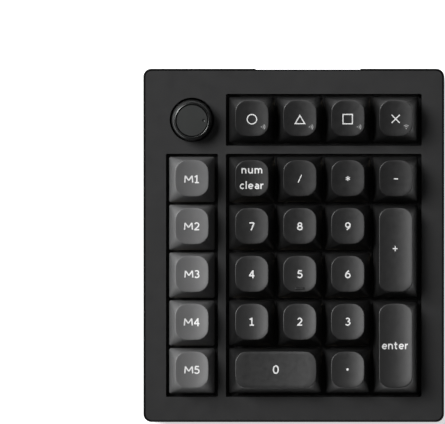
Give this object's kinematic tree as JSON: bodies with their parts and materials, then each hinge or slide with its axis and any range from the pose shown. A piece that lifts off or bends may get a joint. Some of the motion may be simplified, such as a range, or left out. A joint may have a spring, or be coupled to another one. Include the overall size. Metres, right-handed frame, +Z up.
{
  "type": "numeric keypad",
  "caption": "Compact numeric keypad in a two-part metal case with sculpted keys, a column of macro keys and a rotary push knob.",
  "frame": {"origin": "centre of the footprint, on the desk plane under the rubber feet", "axes": "+X to the user's right, +Y to the rear of the keypad, +Z up; the keys' travel leans 5.2 degrees from +Z towards the user"},
  "size_m": [0.1196, 0.1401, 0.0436],
  "materials": {
    "case_aluminium": "black anodised, fine bead blasted",
    "knob_aluminium": "black anodised, satin",
    "keycap_black": "satin, finely textured",
    "keycap_grey": "satin, finely textured",
    "switch_plastic": "moulded, matte",
    "circuit_board": "matte solder mask",
    "foam": "closed-cell foam",
    "gasket_rubber": "matte",
    "foot_rubber": "matte",
    "steel": "bright",
    "black_steel": "black oxide",
    "battery_wrap": "foil pouch",
    "lever_plastic": "moulded, matte"
  },
  "bodies": {
    "case": {"top_case": "case_aluminium", "bottom_case": "case_aluminium", "switch_plate": "switch_plastic", "plate_foam": "foam", "main_circuit_board": "circuit_board", "case_foam": "foam", "gasket_left": "gasket_rubber", "gasket_right": "gasket_rubber", "gasket_front": "gasket_rubber", "gasket_rear": "gasket_rubber", "battery": "battery_wrap", "connector_board": "circuit_board", "usb_c_port": "steel", "mode_switch_body": "steel", "system_switch_body": "steel", "ribbon_cable": "lever_plastic", "encoder_body": "steel", "foot_front_left": "foot_rubber", "case_screw_front_left": "black_steel", "foot_front_right": "foot_rubber", "case_screw_front_right": "black_steel", "foot_rear_left": "foot_rubber", "case_screw_rear_left": "black_steel", "foot_rear_right": "foot_rubber", "case_screw_rear_right": "black_steel"},
    "key_circle": {"keycap_circle": "keycap_black"},
    "key_triangle": {"keycap_triangle": "keycap_black"},
    "key_square": {"keycap_square": "keycap_black"},
    "key_cross": {"keycap_cross": "keycap_black"},
    "key_m1": {"keycap_m1": "keycap_grey"},
    "key_m2": {"keycap_m2": "keycap_grey"},
    "key_m3": {"keycap_m3": "keycap_grey"},
    "key_m4": {"keycap_m4": "keycap_grey"},
    "key_m5": {"keycap_m5": "keycap_grey"},
    "key_num_clear": {"keycap_num_clear": "keycap_black"},
    "key_divide": {"keycap_divide": "keycap_black"},
    "key_multiply": {"keycap_multiply": "keycap_black"},
    "key_minus": {"keycap_minus": "keycap_black"},
    "key_7": {"keycap_7": "keycap_black"},
    "key_8": {"keycap_8": "keycap_black"},
    "key_9": {"keycap_9": "keycap_black"},
    "key_plus": {"keycap_plus": "keycap_black"},
    "key_4": {"keycap_4": "keycap_black"},
    "key_5": {"keycap_5": "keycap_black"},
    "key_6": {"keycap_6": "keycap_black"},
    "key_1": {"keycap_1": "keycap_black"},
    "key_2": {"keycap_2": "keycap_black"},
    "key_3": {"keycap_3": "keycap_black"},
    "key_enter": {"keycap_enter": "keycap_black"},
    "key_0": {"keycap_0": "keycap_black"},
    "key_point": {"keycap_point": "keycap_black"},
    "wire_plus": {"stabiliser_wire_plus": "steel"},
    "wire_enter": {"stabiliser_wire_enter": "steel"},
    "wire_0": {"stabiliser_wire_0": "steel"},
    "mode_lever": {"mode_switch_lever": "lever_plastic"},
    "system_lever": {"system_switch_lever": "lever_plastic"},
    "encoder_switch": {"encoder_plunger": "lever_plastic"},
    "knob": {"knob": "knob_aluminium", "encoder_shaft": "steel"}
  },
  "joints": [
    {"name": "press_circle", "type": "slide", "parent": "case", "child": "key_circle", "axis": [0, -0.0906, 0.9959], "range_m": [-0.0036, 0], "stiffness_N_per_m": 90, "springref_m": 0.0045},
    {"name": "press_triangle", "type": "slide", "parent": "case", "child": "key_triangle", "axis": [0, -0.0906, 0.9959], "range_m": [-0.0036, 0], "stiffness_N_per_m": 90, "springref_m": 0.0045},
    {"name": "press_square", "type": "slide", "parent": "case", "child": "key_square", "axis": [0, -0.0906, 0.9959], "range_m": [-0.0036, 0], "stiffness_N_per_m": 90, "springref_m": 0.0045},
    {"name": "press_cross", "type": "slide", "parent": "case", "child": "key_cross", "axis": [0, -0.0906, 0.9959], "range_m": [-0.0036, 0], "stiffness_N_per_m": 90, "springref_m": 0.0045},
    {"name": "press_m1", "type": "slide", "parent": "case", "child": "key_m1", "axis": [0, -0.0906, 0.9959], "range_m": [-0.0036, 0], "stiffness_N_per_m": 90, "springref_m": 0.0045},
    {"name": "press_m2", "type": "slide", "parent": "case", "child": "key_m2", "axis": [0, -0.0906, 0.9959], "range_m": [-0.0036, 0], "stiffness_N_per_m": 90, "springref_m": 0.0045},
    {"name": "press_m3", "type": "slide", "parent": "case", "child": "key_m3", "axis": [0, -0.0906, 0.9959], "range_m": [-0.0036, 0], "stiffness_N_per_m": 90, "springref_m": 0.0045},
    {"name": "press_m4", "type": "slide", "parent": "case", "child": "key_m4", "axis": [0, -0.0906, 0.9959], "range_m": [-0.0036, 0], "stiffness_N_per_m": 90, "springref_m": 0.0045},
    {"name": "press_m5", "type": "slide", "parent": "case", "child": "key_m5", "axis": [0, -0.0906, 0.9959], "range_m": [-0.0036, 0], "stiffness_N_per_m": 90, "springref_m": 0.0045},
    {"name": "press_num_clear", "type": "slide", "parent": "case", "child": "key_num_clear", "axis": [0, -0.0906, 0.9959], "range_m": [-0.0036, 0], "stiffness_N_per_m": 90, "springref_m": 0.0045},
    {"name": "press_divide", "type": "slide", "parent": "case", "child": "key_divide", "axis": [0, -0.0906, 0.9959], "range_m": [-0.0036, 0], "stiffness_N_per_m": 90, "springref_m": 0.0045},
    {"name": "press_multiply", "type": "slide", "parent": "case", "child": "key_multiply", "axis": [0, -0.0906, 0.9959], "range_m": [-0.0036, 0], "stiffness_N_per_m": 90, "springref_m": 0.0045},
    {"name": "press_minus", "type": "slide", "parent": "case", "child": "key_minus", "axis": [0, -0.0906, 0.9959], "range_m": [-0.0036, 0], "stiffness_N_per_m": 90, "springref_m": 0.0045},
    {"name": "press_7", "type": "slide", "parent": "case", "child": "key_7", "axis": [0, -0.0906, 0.9959], "range_m": [-0.0036, 0], "stiffness_N_per_m": 90, "springref_m": 0.0045},
    {"name": "press_8", "type": "slide", "parent": "case", "child": "key_8", "axis": [0, -0.0906, 0.9959], "range_m": [-0.0036, 0], "stiffness_N_per_m": 90, "springref_m": 0.0045},
    {"name": "press_9", "type": "slide", "parent": "case", "child": "key_9", "axis": [0, -0.0906, 0.9959], "range_m": [-0.0036, 0], "stiffness_N_per_m": 90, "springref_m": 0.0045},
    {"name": "press_plus", "type": "slide", "parent": "case", "child": "key_plus", "axis": [0, -0.0906, 0.9959], "range_m": [-0.0036, 0], "stiffness_N_per_m": 90, "springref_m": 0.0045},
    {"name": "press_4", "type": "slide", "parent": "case", "child": "key_4", "axis": [0, -0.0906, 0.9959], "range_m": [-0.0036, 0], "stiffness_N_per_m": 90, "springref_m": 0.0045},
    {"name": "press_5", "type": "slide", "parent": "case", "child": "key_5", "axis": [0, -0.0906, 0.9959], "range_m": [-0.0036, 0], "stiffness_N_per_m": 90, "springref_m": 0.0045},
    {"name": "press_6", "type": "slide", "parent": "case", "child": "key_6", "axis": [0, -0.0906, 0.9959], "range_m": [-0.0036, 0], "stiffness_N_per_m": 90, "springref_m": 0.0045},
    {"name": "press_1", "type": "slide", "parent": "case", "child": "key_1", "axis": [0, -0.0906, 0.9959], "range_m": [-0.0036, 0], "stiffness_N_per_m": 90, "springref_m": 0.0045},
    {"name": "press_2", "type": "slide", "parent": "case", "child": "key_2", "axis": [0, -0.0906, 0.9959], "range_m": [-0.0036, 0], "stiffness_N_per_m": 90, "springref_m": 0.0045},
    {"name": "press_3", "type": "slide", "parent": "case", "child": "key_3", "axis": [0, -0.0906, 0.9959], "range_m": [-0.0036, 0], "stiffness_N_per_m": 90, "springref_m": 0.0045},
    {"name": "press_enter", "type": "slide", "parent": "case", "child": "key_enter", "axis": [0, -0.0906, 0.9959], "range_m": [-0.0036, 0], "stiffness_N_per_m": 90, "springref_m": 0.0045},
    {"name": "press_0", "type": "slide", "parent": "case", "child": "key_0", "axis": [0, -0.0906, 0.9959], "range_m": [-0.0036, 0], "stiffness_N_per_m": 90, "springref_m": 0.0045},
    {"name": "press_point", "type": "slide", "parent": "case", "child": "key_point", "axis": [0, -0.0906, 0.9959], "range_m": [-0.0036, 0], "stiffness_N_per_m": 90, "springref_m": 0.0045},
    {"name": "wire_swing_plus", "type": "hinge", "parent": "case", "child": "wire_plus", "pos_m": [0.03228, -0.00159, 0.0191], "axis": [0, -0.9959, -0.0906], "range_deg": [-25.6, 0]},
    {"name": "wire_swing_enter", "type": "hinge", "parent": "case", "child": "wire_enter", "pos_m": [0.03228, -0.03954, 0.01564], "axis": [0, -0.9959, -0.0906], "range_deg": [-25.6, 0]},
    {"name": "wire_swing_0", "type": "hinge", "parent": "case", "child": "wire_0", "pos_m": [-0.00714, -0.05719, 0.01404], "axis": [1, 0, 0], "range_deg": [-25.6, 0]},
    {"name": "mode_switch", "type": "slide", "parent": "case", "child": "mode_lever", "axis": [1, 0, 0], "range_m": [-0.002, 0.002]},
    {"name": "system_switch", "type": "slide", "parent": "case", "child": "system_lever", "axis": [1, 0, 0], "range_m": [0, 0.002]},
    {"name": "knob_press", "type": "slide", "parent": "case", "child": "encoder_switch", "axis": [0, -0.0906, 0.9959], "range_m": [-0.0005, 0], "stiffness_N_per_m": 2000, "springref_m": 0.001},
    {"name": "knob_turn", "type": "hinge", "parent": "encoder_switch", "child": "knob", "pos_m": [-0.04048, 0.0498, 0.03241], "axis": [0, -0.0906, 0.9959], "continuous": true}
  ],
  "couplings": [
    {"joint": "wire_swing_plus", "follows": "press_plus", "rad_per_m": 122.95},
    {"joint": "wire_swing_enter", "follows": "press_enter", "rad_per_m": 122.95},
    {"joint": "wire_swing_0", "follows": "press_0", "rad_per_m": 122.95}
  ]
}
